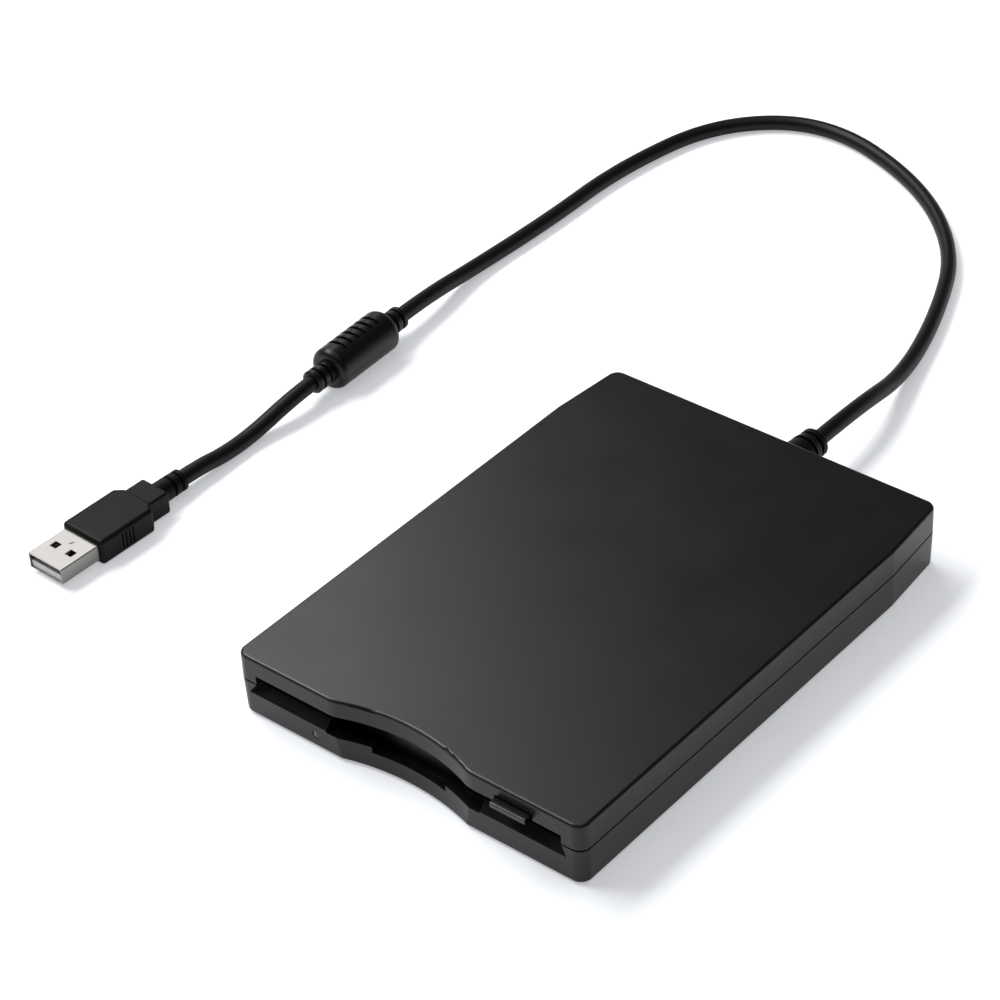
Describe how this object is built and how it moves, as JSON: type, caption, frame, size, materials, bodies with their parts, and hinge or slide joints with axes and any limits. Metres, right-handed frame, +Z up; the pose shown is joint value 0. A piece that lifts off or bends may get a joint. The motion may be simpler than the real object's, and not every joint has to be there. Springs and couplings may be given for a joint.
{
  "type": "external floppy disk drive",
  "caption": "Flat external drive for 90 mm floppy disks, with a front slot, finger recess, eject button, and a captive USB cord with a ferrite choke.",
  "frame": {"origin": "middle of the case footprint, measured over the eject button, at the floor the feet stand on", "axes": "+Y runs from the disk slot to the rear wall, +Z up, +X to the eject button's side"},
  "size_m": [0.1823, 0.2983, 0.0179],
  "materials": {
    "case_black": "satin moulded black",
    "black_plastic": "satin black",
    "black_soft": "semi-gloss black",
    "foot_rubber": "matt",
    "clear_lens": "clear, slightly frosted",
    "plated_steel": "bright zinc-plated sheet",
    "shell_steel": "nickel-plated, satin",
    "dark_screw": "black oxide",
    "spring_steel": "drawn wire",
    "moulded_carriage": "glass-filled, dark grey",
    "natural_plastic": "natural white",
    "ferrite": "sintered, matt",
    "brass": "machined",
    "copper_wire": "enamelled copper wire",
    "laminations": "stacked sheet",
    "board_green": "solder mask",
    "chip_black": "moulded epoxy",
    "flex_amber": "polyimide film",
    "contact_gold": "gold-plated"
  },
  "bodies": {
    "case": {"bottom_cover": "case_black", "top_cover": "case_black", "rubber_feet": "foot_rubber", "led_lens": "clear_lens", "mechanism_chassis": "plated_steel", "chassis_screws": "dark_screw", "spindle_bearing": "brass", "stator_core": "laminations", "stator_coils": "copper_wire", "motor_board": "board_green", "guide_rod": "shell_steel", "rod_clamps": "black_plastic", "screw_bearing": "natural_plastic", "stepper_motor": "plated_steel", "track_sensor": "black_plastic", "sensor_switches": "black_plastic", "switch_boards": "board_green", "status_light": "clear_lens", "slider_springs": "spring_steel", "mechanism_lid": "plated_steel", "control_board": "board_green", "control_chips": "chip_black", "usb_board": "board_green", "usb_chips": "chip_black", "ribbon_cable": "flex_amber", "head_flex": "flex_amber", "cable_gland": "black_soft", "cord_leads": "black_soft", "cord_connector": "natural_plastic", "case_screws": "dark_screw", "choke_cover": "black_soft", "ferrite_core": "ferrite", "plug_overmold": "black_soft", "plug_shell": "shell_steel", "plug_insulator": "natural_plastic", "plug_contacts": "contact_gold", "usb_cord_case": "black_soft", "usb_cord_plug": "black_soft"},
    "carrier": {"disk_carrier": "plated_steel", "lever_spring": "spring_steel"},
    "eject": {"eject_slider": "plated_steel", "eject_button": "black_plastic"},
    "lever": {"shutter_lever": "spring_steel"},
    "rotor": {"spindle_rotor": "plated_steel", "rotor_magnet": "ferrite", "spindle_hub": "shell_steel"},
    "carriage": {"head_carriage": "moulded_carriage", "lower_head": "ferrite"},
    "arm": {"upper_head_arm": "moulded_carriage", "upper_head": "ferrite"},
    "screw": {"lead_screw": "shell_steel"},
    "insert_plunger": {"plunger_insert": "natural_plastic"},
    "protect_plunger": {"plunger_protect": "natural_plastic"},
    "density_plunger": {"plunger_density": "natural_plastic"}
  },
  "joints": [
    {"name": "carrier_lift", "type": "slide", "parent": "case", "child": "carrier", "axis": [0, 0, -1], "range_m": [-0.00026, 0.0022]},
    {"name": "eject_slide", "type": "slide", "parent": "case", "child": "eject", "axis": [0, -1, 0], "range_m": [-0.0006, 0.005], "deforming": ["slider_springs"]},
    {"name": "shutter_swing", "type": "hinge", "parent": "carrier", "child": "lever", "pos_m": [-0.038, 0.02165, 0.01405], "axis": [0, 0, 1], "range_deg": [0, 37], "stiffness_Nm_per_rad": 0.002, "springref_deg": -28.65, "deforming": ["lever_spring"]},
    {"name": "spindle_spin", "type": "hinge", "parent": "case", "child": "rotor", "pos_m": [0, -0.01885, 0.0073], "axis": [0, 0, 1], "continuous": true},
    {"name": "head_slide", "type": "slide", "parent": "case", "child": "carriage", "axis": [0, -1, 0], "range_m": [0, 0.0148], "deforming": ["head_flex"]},
    {"name": "head_arm_lift", "type": "hinge", "parent": "carriage", "child": "arm", "pos_m": [0, 0.04715, 0.0126], "axis": [1, 0, 0], "range_deg": [-0.9, 7.4]},
    {"name": "lead_screw_spin", "type": "hinge", "parent": "case", "child": "screw", "pos_m": [0.018, 0.00995, 0.006], "axis": [0, 1, 0], "range_deg": [0, 1776.01]},
    {"name": "insert_press", "type": "slide", "parent": "case", "child": "insert_plunger", "axis": [0, 0, -1], "range_m": [0, 0.0008], "stiffness_N_per_m": 20, "springref_m": -0.0004},
    {"name": "protect_press", "type": "slide", "parent": "case", "child": "protect_plunger", "axis": [0, 0, -1], "range_m": [0, 0.0008], "stiffness_N_per_m": 20, "springref_m": -0.0004},
    {"name": "density_press", "type": "slide", "parent": "case", "child": "density_plunger", "axis": [0, 0, -1], "range_m": [0, 0.0008], "stiffness_N_per_m": 20, "springref_m": -0.0004}
  ],
  "couplings": [
    {"joint": "eject_slide", "follows": "carrier_lift", "ratio": 2.2727},
    {"joint": "head_arm_lift", "follows": "carrier_lift", "rad_per_m": 58.7},
    {"joint": "lead_screw_spin", "follows": "head_slide", "rad_per_m": 2094.3}
  ]
}
